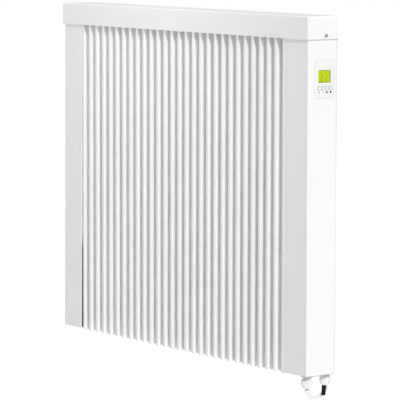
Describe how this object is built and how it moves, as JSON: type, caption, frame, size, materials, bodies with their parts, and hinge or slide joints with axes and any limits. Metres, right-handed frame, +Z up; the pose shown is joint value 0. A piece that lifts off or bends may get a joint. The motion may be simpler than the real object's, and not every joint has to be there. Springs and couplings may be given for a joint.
{
  "type": "storage heater",
  "caption": "Slim wall-hung storage heater with a ribbed white front, slotted top cap, side control panel with display and push buttons, and cable glands below.",
  "frame": {"origin": "on the wall, at the middle of the back of the wall rail that the heater hangs on", "axes": "+X to the right seen from the front, +Y into the wall, so the ribbed front faces -Y, +Z up"},
  "size_m": [0.7834, 0.0934, 0.6887],
  "materials": {
    "white_steel": "fine satin powder coat",
    "zinc_steel": "zinc plated",
    "white_plastic": "fine moulded",
    "grey_plastic": "moulded",
    "black_plastic": "satin",
    "white_cable": "soft PVC",
    "fireclay": "unglazed, rough",
    "insulation_board": "pressed mineral board",
    "rod_steel": "oxidised sheath",
    "circuit_board": "solder mask",
    "display": "backlit liquid crystal",
    "display_pane": "clear, polished"
  },
  "bodies": {
    "case": {"bottom_plate": "white_steel", "cap_screw_left": "zinc_steel", "cap_screw_right": "zinc_steel", "control_board": "circuit_board", "control_case": "grey_plastic", "control_fascia": "white_plastic", "cord_tie": "black_plastic", "core_brick_1": "fireclay", "core_brick_2": "fireclay", "core_brick_3": "fireclay", "core_brick_4": "fireclay", "core_brick_5": "fireclay", "core_brick_6": "fireclay", "core_rail_lower": "zinc_steel", "core_rail_upper": "zinc_steel", "display_module": "display", "display_pane": "display_pane", "heating_rod_lower": "rod_steel", "heating_rod_upper": "rod_steel", "inner_mains_lead": "white_cable", "lead_end": "white_cable", "left_insulation_board": "insulation_board", "left_side_panel": "white_steel", "mains_gland_body": "white_plastic", "mains_gland_locknut": "white_plastic", "mains_gland_nut": "white_plastic", "mains_lead": "white_cable", "mains_lead_coil": "white_cable", "power_board": "circuit_board", "rear_insulation_board": "insulation_board", "rear_panel": "white_steel", "ribbed_front_panel": "white_steel", "right_insulation_board": "insulation_board", "right_side_panel": "white_steel", "room_sensor_probe": "black_plastic", "safety_limiter": "black_plastic", "sensor_gland_body": "white_plastic", "sensor_gland_locknut": "white_plastic", "sensor_gland_nut": "white_plastic", "sensor_lead": "black_plastic", "terminal_block": "white_plastic", "tie_saddle": "white_plastic", "top_cap": "white_steel", "wall_rail": "zinc_steel", "wall_spacer_left": "white_plastic", "wall_spacer_right": "white_plastic"},
    "button_1": {"button_1": "white_plastic"},
    "button_2": {"button_2": "white_plastic"},
    "button_3": {"button_3": "white_plastic"},
    "button_4": {"button_4": "white_plastic"}
  },
  "joints": [
    {"name": "button_1_press", "type": "slide", "parent": "case", "child": "button_1", "axis": [-1, 0, 0], "range_m": [0, 0.0008], "stiffness_N_per_m": 400, "springref_m": -0.001},
    {"name": "button_2_press", "type": "slide", "parent": "case", "child": "button_2", "axis": [-1, 0, 0], "range_m": [0, 0.0008], "stiffness_N_per_m": 400, "springref_m": -0.001},
    {"name": "button_3_press", "type": "slide", "parent": "case", "child": "button_3", "axis": [-1, 0, 0], "range_m": [0, 0.0008], "stiffness_N_per_m": 400, "springref_m": -0.001},
    {"name": "button_4_press", "type": "slide", "parent": "case", "child": "button_4", "axis": [-1, 0, 0], "range_m": [0, 0.0008], "stiffness_N_per_m": 400, "springref_m": -0.001}
  ]
}
